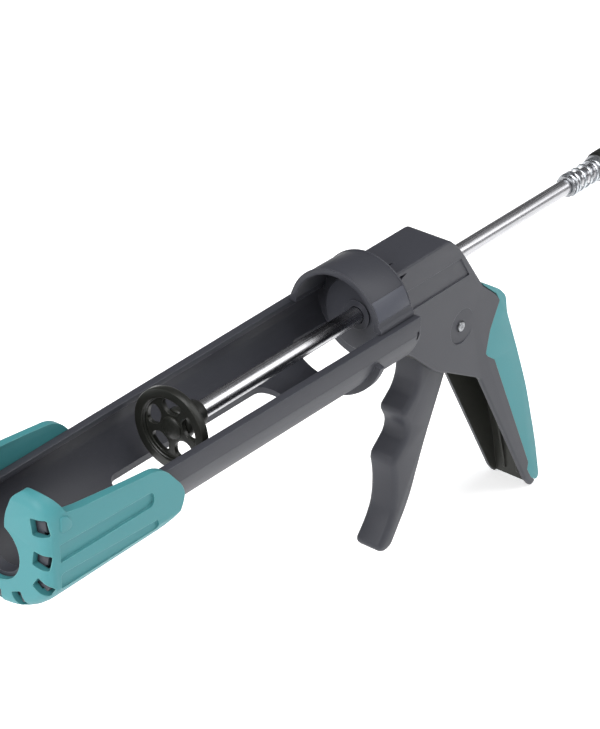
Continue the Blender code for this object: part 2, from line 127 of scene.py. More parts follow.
class Paint:
    """A material under construction."""

    def __init__(self, name):
        self.material = bpy.data.materials.new(name)
        self.material.use_nodes = True
        self.tree = self.material.node_tree
        self.shader = self.tree.nodes["Principled BSDF"]

    def node(self, kind, settings=None, inputs=None, out=0):
        made = self.tree.nodes.new(kind)
        for key, value in (settings or {}).items():
            setattr(made, key, value)
        for key, value in (inputs or {}).items():
            if isinstance(value, Signal):
                self.tree.links.new(value.socket, made.inputs[key])
            else:
                made.inputs[key].default_value = value
        return Signal(self, made.outputs[out])

    def place(self, stretch=(1, 1, 1)):
        """Where a point is on the piece, with each axis scaled."""
        where = self.node("ShaderNodeTexCoord", out="Object")
        return self.node("ShaderNodeMapping", inputs={"Vector": where, "Scale": stretch})

    def noise(self, where, scale, detail=2.0, roughness=0.5):
        """Cloudy values about one half, with so many lumps to the metre."""
        return self.node("ShaderNodeTexNoise", inputs={
            "Vector": where, "Scale": scale, "Detail": detail, "Roughness": roughness})

    def fade(self, value, low, high, to_low=0.0, to_high=1.0):
        """A value stretched from one range to another, and held there beyond it."""
        return self.node("ShaderNodeMapRange", {"interpolation_type": "SMOOTHSTEP"}, {
            "Value": value, "From Min": low, "From Max": high,
            "To Min": to_low, "To Max": to_high})

    def mix(self, share, first, second):
        """A blend of two colours."""
        return self.node("ShaderNodeMix", {"data_type": "RGBA"},
                         {0: share, 6: first, 7: second}, out=2)

    def round_edges(self, radius):
        """The surface's direction with each corner rounded by a small radius."""
        return self.node("ShaderNodeBevel", {"samples": 6}, {"Radius": radius})

    def edge_mask(self, rounded, gain):
        """One along the corners and nothing on the flats."""
        flat = self.node("ShaderNodeNewGeometry", out="Normal")
        alike = self.node("ShaderNodeVectorMath", {"operation": "DOT_PRODUCT"},
                          {0: rounded, 1: flat}, out="Value")
        return self.fade(1 - alike, 0.0, gain)

    def bump(self, height, depth, normal, strength=1.0):
        return self.node("ShaderNodeBump", inputs={
            "Strength": strength, "Distance": depth, "Height": height, "Normal": normal})

    def feed(self, name, value):
        if isinstance(value, Signal):
            self.tree.links.new(value.socket, self.shader.inputs[name])
        else:
            self.shader.inputs[name].default_value = value


def rgb(red, green, blue):
    """A colour from the 0 to 255 values of a colour chip, as the linear values shaders use."""
    def linear(part):
        part = part / 255
        return part / 12.92 if part <= 0.04045 else ((part + 0.055) / 1.055) ** 2.4
    return (linear(red), linear(green), linear(blue), 1)


# %% [markdown]
# The housing, cradle and trigger are moulded in a glass-filled plastic with a fine spark
# texture. Its look comes from four things: a grain a third of a millimetre wide, a soft
# cloudiness left by the flow of the melt, faint scuffs, and corners that are smoother and
# painted lighter, partly as rubbing wear and partly as a painted highlight along the edges.
# The same recipe with other numbers gives every plastic.

# %% Moulded plastic
def moulded(name, colour, wear_and_highlight_colour, gloss=0.45, grain=1.0, radius=0.0004, cloud=0.12):
    """A moulded plastic with grain, cloudiness, scuffs and lighter corners, part wear and part
    painted highlight.
    """
    paint = Paint(name)
    where = paint.place()
    fine = paint.noise(where, 2600, 2)
    coarse = paint.noise(where, 900, 3, 0.6)
    flow = paint.noise(paint.place((0.6, 1, 1)), 34, 4, 0.6)
    scuff = paint.fade(paint.noise(paint.place((1, 9, 9)), 130, 5, 0.7), 0.60, 0.74)
    rounded = paint.round_edges(radius)
    edge = paint.edge_mask(rounded, 0.22)
    # Corners painted lighter: partly rubbing wear, partly a painted highlight along the edges
    worn_and_highlit = edge * paint.fade(paint.noise(where, 160, 3), 0.32, 0.62, 0.35, 1.0)
    dark = tuple(part * (1 - cloud) for part in colour[:3]) + (1,)
    light = tuple(part * (1 + cloud) for part in colour[:3]) + (1,)
    base = paint.mix(flow, dark, light)
    specks = paint.mix(paint.fade(coarse, 0.35, 0.65, 0.0, 0.16), base, light)
    scuffed = paint.mix(scuff * 0.10, specks, wear_and_highlight_colour)
    paint.feed("Base Color", paint.mix(worn_and_highlit * 0.65, scuffed, wear_and_highlight_colour))
    paint.feed("Roughness", gloss + (flow - 0.5) * 0.16 + (fine - 0.5) * 0.10
               - worn_and_highlit * 0.10 + scuff * 0.06)
    height = fine * 0.5 + coarse * 0.5
    paint.feed("Normal", paint.bump(height, 0.00006 * grain, rounded, 0.55))
    paint.feed("Specular IOR Level", 0.32)
    print(name, len(paint.tree.nodes), "nodes")
    return paint.material


# The second colour of each plastic goes on its scuffs and corners: wear, plus a painted highlight
# on the corners
HOUSING = moulded("housing_plastic_grained", rgb(51, 52, 58), rgb(112, 114, 122), 0.47)
HOOP_PATCH = moulded("hoop_patch_textured", rgb(66, 68, 76), rgb(124, 126, 136), 0.38, 2.4)
# The housing plastic painted darker, as painted shade for the faces inside the hollow handle
INSIDE_PAINTED_SHADE = moulded("inner_plastic_painted_shade", rgb(42, 43, 39), rgb(62, 62, 60), 0.45, 0.8)
TEAL = moulded("teal_overmould", rgb(60, 124, 129), rgb(122, 184, 180), 0.50, 0.8, 0.0006, 0.07)
BLACK = moulded("black_disc_plastic", rgb(27, 28, 25), rgb(88, 89, 82), 0.36, 0.7)
BUSH = moulded("natural_bush_plastic", rgb(202, 198, 186), rgb(222, 220, 212), 0.45, 0.7)

# %% [markdown]
# The rod is drawn steel with a thin zinc coat. Drawing leaves streaks that run the whole
# length, so the noise is squeezed along x and packed tightly round the bar. The streaks
# change the polish as well as the colour, which is what breaks up the reflections.

# %% Drawn steel
def drawn_steel(name, colour, polish=0.2, along=(6, 1, 1), streaks=1.0):
    """Bright steel with streaks along its length, faint clouding and tiny pits."""
    paint = Paint(name)
    stretched = tuple(1 / part for part in along)
    line = paint.noise(paint.place(stretched), 1500, 3, 0.65)
    broad = paint.noise(paint.place(stretched), 260, 2)
    cloud = paint.noise(paint.place(), 60, 4, 0.6)
    pits = paint.fade(paint.noise(paint.place(), 2400, 1), 0.66, 0.76)
    rounded = paint.round_edges(0.0003)
    dark = tuple(part * 0.72 for part in colour[:3]) + (1,)
    tone = paint.mix(paint.fade(line * 0.6 + broad * 0.4, 0.36, 0.62), dark, colour)
    paint.feed("Base Color", paint.mix(pits * 0.25, tone, dark))
    paint.feed("Metallic", 1.0)
    paint.feed("Roughness", polish + (line - 0.5) * 0.22 * streaks
               + (cloud - 0.5) * 0.10 + pits * 0.08)
    paint.feed("Normal", paint.bump(line, 0.00002 * streaks, rounded, 0.5))
    print(name, len(paint.tree.nodes), "nodes")
    return paint.material


ROD_STEEL = drawn_steel("drawn_rod_steel", rgb(196, 196, 199), 0.26, (60, 1, 1), 0.7)
ZINC = drawn_steel("zinc_plated_steel", rgb(158, 160, 163), 0.34, (2, 1, 1), 0.8)
WIRE = drawn_steel("spring_wire", rgb(200, 204, 208), 0.24, (1, 1, 1), 0.6)

# %% [markdown]
# Most mouldings start as a flat outline with thickness. An outline is drawn with a pen:
# a pair of numbers is a straight move, and a centre with an angle swings the tip round it,
# which Spin does exactly. A third number rounds that corner by a vertex bevel, measured
# along its two edges.

# %% Outline and solid helpers
SHARP_ANGLE = math.radians(32)
TURNS = {
    "X": Matrix(((0, 0, 1, 0), (1, 0, 0, 0), (0, 1, 0, 0), (0, 0, 0, 1))),
    "Y": Matrix(((1, 0, 0, 0), (0, 0, 1, 0), (0, 1, 0, 0), (0, 0, 0, 1))),
    "Z": Matrix.Identity(4),
}


def only(kind, geometry):
    return [item for item in geometry if isinstance(item, kind)]


def outline(moves):
    """A flat face drawn with straight moves, swings about a centre and rounded corners."""
    bm = bmesh.new()
    corners = {}
    tip = first = None
    for move in moves:
        if isinstance(move[0], tuple):
            centre, degrees = move
            swing = bmesh.ops.spin(bm, geom=[tip], cent=(*centre, 0), axis=(0, 0, 1),
                                   angle=math.radians(degrees),
                                   steps=max(2, round(abs(degrees) / 5)))
            tip = only(bmesh.types.BMVert, swing["geom_last"])[0]
            continue
        new = bm.verts.new((move[0], move[1], 0))
        if tip is not None:
            bm.edges.new((tip, new))
        first = first or new
        tip = new
        if len(move) == 3:
            corners.setdefault(move[2], []).append(new)
    bm.edges.new((tip, first))
    bmesh.ops.contextual_create(bm, geom=bm.edges[:])
    for reach, turning in corners.items():
        bmesh.ops.bevel(bm, geom=turning, offset=reach, offset_type="OFFSET", segments=6,
                        profile=0.5, affect="VERTICES", material=-1)
    return bm


def slab(moves, low, high, along="Y"):
    """An outline given thickness along an axis, from low to high."""
    bm = outline(moves)
    made = bmesh.ops.extrude_face_region(bm, geom=bm.faces[:])
    bmesh.ops.translate(bm, verts=bm.verts[:], vec=(0, 0, low))
    bmesh.ops.translate(bm, verts=only(bmesh.types.BMVert, made["geom"]),
                        vec=(0, 0, high - low))
    bmesh.ops.transform(bm, matrix=TURNS[along], verts=bm.verts)
    bmesh.ops.recalc_face_normals(bm, faces=bm.faces)
    return bm


def soften(bm, width, segments=3, over=35, where=lambda edge: True):
    """Round every edge that turns by more than an angle."""
    edges = [edge for edge in bm.edges if len(edge.link_faces) == 2
             and edge.calc_face_angle(0) > math.radians(over) and where(edge)]
    bmesh.ops.bevel(bm, geom=edges, offset=width, offset_type="OFFSET", segments=segments,
                    profile=0.5, affect="EDGES", material=-1, clamp_overlap=True)
    return bm


def crown(bm, faces, steps):
    """Round flat faces off at their rims, by insets that each step further out."""
    for inset, outward in steps:
        for face in faces:
            bmesh.ops.inset_region(bm, faces=[face], thickness=inset, depth=outward,
                                   use_even_offset=True, use_boundary=True)
    return bm


def turned(profile, steps=64, on_axis=False):
    """A profile of (x, radius) points spun about the x axis."""
    bm = bmesh.new()
    line = [bm.verts.new((x, 0, radius)) for x, radius in profile]
    pairs = list(zip(line, line[1:])) + ([] if on_axis else [(line[-1], line[0])])
    edges = [bm.edges.new(pair) for pair in pairs]
    bmesh.ops.spin(bm, geom=line + edges, cent=(0, 0, 0), axis=(1, 0, 0),
                   angle=math.tau, steps=steps, use_merge=True)
    bmesh.ops.remove_doubles(bm, verts=bm.verts, dist=0.001)
    bmesh.ops.recalc_face_normals(bm, faces=bm.faces)
    return bm


def moved(bm, shift=(0, 0, 0), turn=0.0, axis="X"):
    """Turn a solid about an axis of the frame by so many degrees, then shift it."""
    matrix = Matrix.Translation(shift) @ Matrix.Rotation(math.radians(turn), 4, axis)
    bmesh.ops.transform(bm, matrix=matrix, verts=bm.verts)
    return bm


def carve(bm, tool, operation="DIFFERENCE"):
    """One solid cut by another, or joined or kept with it."""
    holders = []
    for shape in (bm, tool):
        mesh = bpy.data.meshes.new("working")
        shape.to_mesh(mesh)
        shape.free()
        holders.append(bpy.data.objects.new("working", mesh))
        bpy.context.scene.collection.objects.link(holders[-1])
    step = holders[0].modifiers.new("carve", "BOOLEAN")
    step.operation = operation
    step.object = holders[1]
    solid = holders[0].evaluated_get(bpy.context.evaluated_depsgraph_get())
    result = bmesh.new()
    result.from_mesh(solid.to_mesh())
    for holder in holders:
        bpy.data.objects.remove(holder)
    bmesh.ops.remove_doubles(result, verts=result.verts, dist=0.002)
    return result


def both_sides(bm):
    """The same solid with its mirror image across the gun's middle plane."""
    bmesh.ops.mirror(bm, geom=bm.verts[:] + bm.edges[:] + bm.faces[:], axis="Y",
                     matrix=Matrix.Identity(4), merge_dist=-1)
    bmesh.ops.recalc_face_normals(bm, faces=bm.faces)
    return bm


def together(*solids):
    """Several solids in one bmesh."""
    bm = bmesh.new()
    for solid in solids:
        mesh = bpy.data.meshes.new("working")
        solid.to_mesh(mesh)
        solid.free()
        bm.from_mesh(mesh)
    return bm


def piece(bm, name, material, body, slot, *nodes):
    """A finished solid as a named piece that rides on a body and stands for CAD nodes."""
    bmesh.ops.transform(bm, matrix=CRADLE_FRAME, verts=bm.verts)
    bmesh.ops.recalc_face_normals(bm, faces=bm.faces)
    mesh = bpy.data.meshes.new(name)
    bm.to_mesh(mesh)
    bm.free()
    mesh.shade_smooth()
    mesh.set_sharp_from_angle(angle=SHARP_ANGLE)
    mesh.materials.append(material)
    made = bpy.data.objects.new(name, mesh)
    bpy.context.scene.collection.objects.link(made)
    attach(made, body)
    if nodes:
        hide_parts(*nodes)
    print(name, len(mesh.polygons), "faces")
    return made


# %% [markdown]
# The cradle is a half pipe that holds the cartridge. A small rectangle spun half a turn
# about the cradle's axis makes the pipe with its wall in one step. An upright rail with a
# lip turned inwards is joined to each side of it. The pipe narrows towards the nose, so each
# point's y shrinks with its x. The end wall, a strengthening band and the openings follow.

# %% Cradle
TRAY_OUT, TRAY_IN = 34.2, 31.2
TRAY_BACK, TRAY_FRONT = -29.5, 239.7
RAIL_OUT, RAIL_IN, LIP_IN = 33.4, 30.4, 28.3
NARROWING = 0.0173 / RAIL_OUT
PIPE_START = 12.0


def half_pipe(inner, outer, back, front, start, sweep, steps=36, centre_z=0.0):
    """A rectangle of wall spun about the cradle's axis, from an angle off the left side."""
    bm = bmesh.new()
    bm.faces.new([bm.verts.new((x, radius, 0)) for x, radius in
                  ((back, inner), (back, outer), (front, outer), (front, inner))])
    bmesh.ops.rotate(bm, verts=bm.verts, cent=(0, 0, 0),
                     matrix=Matrix.Rotation(math.radians(start), 3, "X"))
    bmesh.ops.spin(bm, geom=bm.faces[:], cent=(0, 0, 0), axis=(1, 0, 0),
                   angle=math.radians(sweep), steps=steps)
    bmesh.ops.translate(bm, verts=bm.verts, vec=(0, 0, centre_z))
    bmesh.ops.recalc_face_normals(bm, faces=bm.faces)
    return bm


def rail(side):
    """The upright side of the cradle with its lip turned inwards."""
    corners = [(RAIL_OUT, -7.4), (RAIL_OUT, RAIL_TOP), (LIP_IN, RAIL_TOP), (LIP_IN, 0.1),
               (RAIL_IN, 0.1), (RAIL_IN, -7.4)]
    return slab([(y * side, z) for y, z in corners], TRAY_BACK, TRAY_FRONT, "X")


def hub_hole():
    """Room for the round hub of the housing."""
    return moved(turned([(-60, 0), (-60, 21.7), (20, 21.7), (20, 0)], on_axis=True), ROD_DROP)


cradle = half_pipe(TRAY_IN, TRAY_OUT, TRAY_BACK, TRAY_FRONT, -PIPE_START,
                   2 * PIPE_START - 180)
for side in (-1, 1):
    cradle = carve(cradle, rail(side), "UNION")
for vert in cradle.verts:
    vert.co.y *= 1 - NARROWING * vert.co.x
soften(cradle, 0.5, 2, 60,
       lambda edge: min(vert.co.z for vert in edge.verts) > RAIL_TOP - 0.1)
end_wall = slab([(-32.6, 0.1), ((0, 0), 180), (32.6, 0.1)], TRAY_BACK + 0.1, -26.5, "X")
cradle = carve(cradle, carve(end_wall, hub_hole()), "UNION")
cradle = carve(cradle, half_pipe(32.7, 37.7, 3.5, 7.0, -18, -144), "UNION")
cradle = carve(cradle, slab([(34, -17, 10), (156, -17, 5), (156, 17, 5), (34, 17, 10)],
                            -45, -15, "Z"))
cradle = carve(cradle, slab([(-26.6, -25, 2), (3.4, -25, 2), (3.4, 25, 2), (-26.6, 25, 2)],
                            -45, -15, "Z"))
slit = slab([(-28.4, -10, 0.4), (-26.8, -10.4, 0.4), (-26.8, -5, 0.4), (-28.4, -5, 0.4)],
            31.5, 36)
cradle = carve(cradle, both_sides(slit))
piece(cradle, "cradle_tray", HOUSING, "root", "housing_plastic", "cradle")

# %% [markdown]
# The hoop over the cradle's rear end is the same spun rectangle, this time swept over the
# top, with a wall behind it that closes round the hub. Raised rims at its two edges and a
# raised, more coarsely textured patch at each foot are thinner rings of the same kind, so
# they follow the band exactly.

# %% Hoop
HOOP_Z = 0.7
hoop = half_pipe(25.8, 28.9, -28.5, 0, 11, 158, 48, HOOP_Z)
soften(hoop, 0.45, 2, 60, lambda edge: edge.calc_length() < 8)
for side in (-1, 1):
    foot = slab([(25.4 * side, 3.4), (30.4 * side, 3.4), (30.4 * side, 5.4, 0.8),
                 (28.9 * side, 6.2, 0.8), (28.2 * side, 9.0), (25.3 * side, 9.0)],
                -28.4, -0.1, "X")
    hoop = carve(hoop, foot, "UNION")
hoop_wall = slab([(27.0, 0.3), (27.0, 3.4), ((0, HOOP_Z), 168.5), (-27.0, 0.3)],
                 -28.3, -25.5, "X")
hoop = carve(hoop, carve(hoop_wall, hub_hole()), "UNION")
piece(hoop, "hoop_band", HOUSING, "root", "housing_plastic", "rear_hoop")

rims = []
for low, high in ((-28.5, -27.5), (-1.0, 0.0)):
    rims.append(soften(half_pipe(28.6, 29.25, low, high, 12, 156, 48, HOOP_Z), 0.25, 2, 60))
piece(together(*rims), "hoop_rims", HOUSING, "root", "housing_plastic")
patches = []
for start in (13, 142):
    patch = half_pipe(28.5, 29.2, -27.4, -1.1, start, 25, 12, HOOP_Z)
    patches.append(soften(patch, 0.2, 2, 60))
piece(together(*patches), "hoop_patches", HOOP_PATCH, "root", "housing_plastic")

# %% [markdown]
# The nose is a hard slotted plate that takes the thrust of the cartridge, wrapped in a softer
# teal cover. Both share one upright section: flat sides on a round bottom, with a notch for
# the nozzle that is open at the top. A round hole widens the foot of the notch.

# %% Nose plate
SLOT_Z = -9.0


def round_hole(radius, low=225, high=265, height=SLOT_Z):
    """A round bar along the gun, to cut a hole with."""
    return moved(turned([(low, 0), (low, radius), (high, radius), (high, 0)], on_axis=True),
                 (0, 0, height))


def nose_section(half, outer, top, corner, neck):
    """The upright section of a nose part: flat sides on a round bottom, open at the top."""
    low = -math.sqrt(outer ** 2 - half ** 2)
    sweep = 180 - 2 * math.degrees(math.atan2(-low, half))
    return [(-neck, 0), (-neck, 11.5, 5), (-14.5, top, 7), (-half, top, corner), (-half, low),
            ((0, 0), sweep), (half, top, corner), (14.5, top, 7), (neck, 11.5, 5), (neck, 0)]


plate = slab(nose_section(28.9, 33.6, 23, 8, 8.6), 240, 246.4, "X")
soften(plate, 0.5, 2)
plate = carve(plate, round_hole(14.0))
piece(plate, "nose_plate_shaped", HOUSING, "root", "housing_plastic", "nose_plate")

# %% [markdown]
# The cover is an extruded section kept only where it also lies inside a block with a crowned
# front and inside its own side outline, which gives the low wings and the tall lobes at the
# front in one step. It is then hollowed, grooved along its wings and pierced by a row of
# windows, each with a tooth of the hard plate showing in it.

# %% Nose cover
COVER_BACK, COVER_FRONT = 150, 250
cover = slab(nose_section(35, 40, 28, 0, 7.2), COVER_BACK, COVER_FRONT, "X")
soften(cover, 1.4, 3, 40, lambda edge: min(vert.co.x for vert in edge.verts) > COVER_FRONT - 1
       and max(abs(vert.co.y) for vert in edge.verts) < 24)
arc_low = -math.sqrt(40 ** 2 - 35 ** 2)
envelope = slab([(-35, 28, 12), (-35, arc_low), ((0, 0), 122.1), (35, 28, 12)],
                COVER_BACK - 5, COVER_FRONT - 8.0, "X")
front_face = max(envelope.faces, key=lambda face: face.calc_center_median().x)
crown(envelope, [front_face], ((0.4, 2.6), (0.9, 2.2), (1.4, 1.6), (1.8, 1.1), (2.2, 0.5)))
cover = carve(cover, envelope, "INTERSECT")
side_shape = slab([(174, 10.5, 7), (232, 17.0, 6), (238.5, 18.5, 2), (241.5, 25.5, 5),
                   (247, 30.5, 3), (256, 30.5), (256, -46), (180, -46), (172, -28, 9),
                   (159.5, -19, 7), (158, -8, 6)], -50, 50)
cover = carve(cover, side_shape, "INTERSECT")
lining = slab([(-14.6, 45), (-14.6, 25.4), (-23, 25.4), (-29.6, 18), (-31, 13), (-31, -14.7),
               ((0, 0), 129.2), (31, 13), (29.6, 18), (23, 25.4), (14.6, 25.4), (14.6, 45)],
              140, 246.7, "X")
cover = carve(cover, lining)
cover = carve(cover, round_hole(16.0))

groove = slab([(180, -7.0, 3.2), (243, -6.0, 0.5), (243, 3.5, 0.5), (180, 1.0, 3.2)], 33.5, 40)
cover = carve(cover, both_sides(soften(groove, 0.5, 2)))
lower_groove = slab([(177, -21.8, 2), (243, -20.5, 2), (243, -12.0, 2), (177, -16.0, 2)],
                    33.2, 40)
cover = carve(cover, both_sides(soften(lower_groove, 0.5, 2)))
# Each window's middle, the way it faces round the nose, and half its length
WINDOWS = [(28.3, 13.0, 8, 3.9), (28.6, -4.5, -8, 3.5), (28.6, -18.8, -34, 3.0),
           (14.2, -31.4, -66, 2.7)]
WINDOWS += [(-y, z, 180 - angle, half) for y, z, angle, half in WINDOWS] + [(0, -34.4, -90, 2.6)]
teeth = []
for y, z, angle, half_width in WINDOWS:
    window = slab([(242.5, -half_width, 1.4), (256, -half_width - 1.0), (256, half_width + 1.0),
                   (242.5, half_width, 1.4)], -4.2, 4.6, "Y")
    cover = carve(cover, moved(soften(window, 0.8, 2), (0, y, z), angle))
    tooth = slab([(240, 0.8 - half_width), (247.4, 0.8 - half_width, 1.5),
                  (247.4, half_width - 0.8, 1.5), (240, half_width - 0.8)], -2.4, 2.6, "Y")
    teeth.append(moved(soften(tooth, 0.6, 2), (0, y, z), angle))
piece(cover, "nose_cover_shaped", TEAL, "root", "soft_teal", "nose_cover")
piece(together(*teeth), "nose_teeth", HOUSING, "root", "housing_plastic")

pad = slab([(234.5, 9.2, 3), (242.6, 9.2, 2.2), (242.6, 18.2, 2.2), (236.5, 16.4, 3)], 33.4, 35.6)
piece(both_sides(soften(pad, 0.6, 3)), "nose_cover_pads", TEAL, "root", "soft_teal")

# %% [markdown]
# The housing and the handle are one moulding: a thick outline in the gun's side view with
# rounded edges, hollowed from below so that only a wall is left. The round hub in front, the
# blank panel on each side, the dished seat of the pin and the small moulding notches behind
# the hoop are added or cut afterwards, so the rounding of the outer edges stays clean. The
# handle cover shares two outlines with it: the back of the gun and the step under the cover.

# %% Housing
BODY_HALF = 14.5
PIVOT = (-95.7, -38.3)
BACK = [(-115.2, -19.8), (-123.5, -24.6), (-131.8, -30.0, 3), (-138.4, -36.8, 3),
        (-140.2, -47.8, 4), (-150.1, -70.1, 8), (-164.8, -106.2, 9), (-178.5, -149.9, 9),
        (-185.0, -177.0, 1.5)]
UNDER_COVER = [(-115.0, -20.6), (-128.6, -31.6), (-134.2, -37.6, 2), (-137.0, -47.6, 3),
               (-147.3, -71.2, 5), (-162.0, -107.2, 6), (-175.6, -150.7, 6),
               (-182.1, -179.6, 2)]


def bar_across(radius, half, centre=PIVOT):
    """A round bar across the gun."""
    bar = turned([(-half, 0), (-half, radius), (half, radius), (half, 0)], on_axis=True)
    return moved(bar, (centre[0], 0, centre[1]), 90, "Z")


body = slab([(-29.8, 19.6), (-81.6, 19.9, 2.5), (-90.0, 12.8, 2.5), (-97.7, 3.3, 3),
             (-113.5, -18.5, 1.5), *UNDER_COVER, (-177.6, -182.0, 2.0), (-171.6, -175.1, 1.5),
             (-117.7, -81.7, 1.5), (-114.0, -79.0, 1.5), (-83.9, -62.3, 3), (-76.0, -58.6, 3),
             (-69.4, -53.6, 3), (-50.5, -37.2, 2), (-46.0, -34.6, 2), (-29.8, -33.8)],
            -BODY_HALF, BODY_HALF)
soften(body, 1.2, 4, 50, lambda edge: max(vert.co.x for vert in edge.verts) < -29.9
       or abs(edge.verts[0].co.x - edge.verts[1].co.x) > 5)
hub = turned([(-31.5, 0), (-31.5, 21.3), (-20.6, 21.3), (-20.0, 20.7), (-20.0, 0)], on_axis=True)
body = carve(body, moved(hub, ROD_DROP), "UNION")
pocket = slab([(-33.0, 16.8), (-81.0, 16.8), (-88.0, 10.3), (-94.6, 2.0), (-110.4, -20.2),
               (-124.8, -32.4), (-131.0, -39.6), (-134.2, -48.4), (-144.4, -72.3),
               (-159.1, -108.4), (-172.6, -151.6), (-181.0, -190.0), (-150.0, -190.0),
               (-108.0, -88.0), (-57.0, -60.0), (-57.0, -38.8), (-48.6, -32.4),
               (-45.0, -30.9), (-33.0, -30.6)], -11.7, 11.7)
body = carve(body, pocket)
for radius, low, high in ((7.3, -35, -15), (6.3, -118, -91)):
    body = carve(body, round_hole(radius, low, high, ROD_DROP[2]))
body = carve(body, bar_across(3.2, 20))
print("housing", len(body.faces), "faces before its details")

# %% [markdown]
# The two ribs inside the handle run down to its open end. The cover's rebate is cut a little
# larger than the cover, which leaves the fine dark seam between the two colours. The faces
# inside the handle get a plainer copy of the plastic that is painted darker, as painted
# shade for the hollow.

# %% Housing details
COVER_EDGE = [(-115.0, -20.6), (-122.0, -26.2), (-128.6, -31.6), (-132.0, -37.2, 1.5),
              (-124.0, -52.4, 4), (-121.0, -66.6, 2), (-123.0, -69.0, 1), (-130.2, -74.3, 2),
              (-172.6, -162.8, 2), (-171.9, -167.6, 1.5), (-176.9, -175.6, 1.5)]
for side in (-1, 1):
    rib = slab([(-158.0, -113.0), (-175.6, -171.0, 2), (-176.4, -176.6, 2), (-182.0, -176.5),
                (-166.0, -113.0)], side * 4.8 - 0.9, side * 4.8 + 0.9)
    body = carve(body, soften(rib, 0.4, 2), "UNION")
rebate = slab([*[(x - 0.2, z) for x, z, *_ in COVER_EDGE], (-181.5, -179.3), (-192, -180),
               (-192, -60), (-140, -20), (-115.0, -18.0)], 12.9, 20)
body = carve(body, both_sides(rebate))
panel = slab([(-24, -8.4), (-24, 5.0), (-92.3, 5.0, 0.6), (-101.0, -8.4, 0.6)], 13.7, 20)
body = carve(body, both_sides(panel))
dish = turned([(0, 0), (0, 10.5), (5, 10.5), (5, 0)], on_axis=True)
moved(dish, (PIVOT[0] - 0.4, 13.85, PIVOT[1]), 90, "Z")
bmesh.ops.rotate(dish, verts=dish.verts, cent=(PIVOT[0], 14.4, PIVOT[1]),
                 matrix=Matrix.Rotation(math.radians(-3.6), 3, "Z"))
body = carve(body, both_sides(dish))
body = carve(body, slab([(-25, -3.0), (-25, 6.5), (-43, 6.0, 0.5)], 17.6, 22, "Z"))
side_notch = slab([(-25, 9.0), (-25, 17.2), (-43, 16.6, 0.5)], 12.8, 18)
body = carve(body, both_sides(side_notch))
shell = piece(body, "housing_shell", HOUSING, "root", "housing_plastic", "body_housing")
# Faces inside the handle take the darker copy of the plastic: painted shade in the hollow
shell.data.materials.append(INSIDE_PAINTED_SHADE)
for face in shell.data.polygons:
    spot = CRADLE_FRAME.inverted() @ face.center
    if abs(spot.y) < 11.8 and spot.z < -30 and spot.x < -46:
        face.material_index = 1

cover = slab([*BACK, (-183.6, -178.8), (-181.5, -178.9),
              *[(x - 0.2, z, *reach) for x, z, *reach in reversed(COVER_EDGE)]],
             -BODY_HALF, BODY_HALF)
soften(cover, 1.0, 4, 45, lambda edge: min(vert.co.x for vert in edge.verts) > -140
       and edge.verts[0].co.z > -75)
soften(cover, 0.5, 2, 45)
core = slab([*[(x + 0.3, z, *reach) for x, z, *reach in UNDER_COVER], (-182, -200), (-100, -200),
             (-90, -20)], -13.1, 13.1)
piece(carve(cover, core), "handle_cover_shaped", TEAL, "root", "soft_teal", "handle_cover")

# %% [markdown]
# The trigger is a solid lever with finger hollows down its front. Drawing the hollows as
# corners with a long vertex bevel gives flowing curves from very few points, and crowning
# the two flanks rounds the lever to the hand. It turns on the pin, and the arm above the pin
# pushes the drive plate forward.

# %% Trigger
lever = slab([(-101.0, -46.0), (-94.0, -38.0, 4), (-73.4, -37.4, 4), (-67.1, -45.0, 4),
              (-65.0, -66.2, 6), (-51.8, -77.0, 3.4), (-59.4, -90.6, 7), (-44.2, -103.6, 3.8),
              (-49.0, -123.0, 12), (-45.2, -141.0, 9), (-33.6, -155.3, 3.0), (-38.5, -160.2, 3),
              (-46.0, -159.4, 3), (-62.0, -136.1, 8), (-75.0, -103.1, 9), (-91.0, -69.2, 6)],
             -5.7, 5.7)
flanks = [face for face in lever.faces if abs(face.normal.y) > 0.9]
crown(lever, flanks, ((0.2, 1.1), (0.6, 1.0), (1.0, 0.7), (1.5, 0.5)))
arm = slab([(-90.3, -11.1), ((-87.7, -12.6), -150), (-84.7, -21.0, 2), (-82.0, -25.5, 2),
            (-74.0, -37.0, 3), (-74.0, -48.0, 3), (-98.0, -50.0, 3), (-101.15, -46.08),
            (PIVOT, -85), (-93.0, -18.0)], -8.4, 8.4)
trigger = carve(lever, soften(arm, 0.6, 2), "UNION")
trigger = carve(trigger, soften(bar_across(8.5, 11.4), 0.4, 2), "UNION")
trigger = carve(trigger, bar_across(3.3, 20))
piece(trigger, "trigger_lever", HOUSING, "trigger", "housing_plastic", "trigger")

# %% [markdown]
# Everything round is a profile spun about its axis. The pin gets a domed head with a centre
# dimple from its riveting tool, and the rod small chamfers at both ends. A stepped collar
# holds the plunger disc on the rod.

# %% Pin and rod
pin = turned([(-16.4, 0), (-16.4, 2.3), (-15.8, 2.9), (14.2, 2.9), (14.8, 2.7), (15.15, 2.1),
              (15.0, 1.3), (14.4, 0.9), (14.1, 0)], 40, on_axis=True)
piece(moved(pin, (PIVOT[0], 0, PIVOT[1]), 90, "Z"), "pin_riveted", ZINC, "root", "zinc_steel",
      "trigger_pin")
rod = turned([(-262, 0), (-262, 4.0), (-261.4, 4.6), (126.2, 4.6), (126.7, 4.1), (126.7, 0)],
             64, on_axis=True)
piece(moved(rod, ROD_DROP), "rod_drawn", ROD_STEEL, "rod", "zinc_steel", "push_rod")
collar = turned([(124.6, 4.9), (124.6, 7.6), (124.0, 8.4), (121.0, 8.6), (119.4, 8.2),
                 (118.0, 7.2), (109.2, 7.2), (108.2, 6.6), (108.0, 5.4), (108.0, 4.9)])
piece(moved(collar, ROD_DROP), "collar_stepped", BLACK, "rod", "black_plastic", "plunger_collar")

# %% [markdown]
# The plunger is a light wheel: a stiff rim with a raised lip, a thin web with five windows
# that leaves five spokes, and a hub. The windows are one slab turned about the rod.

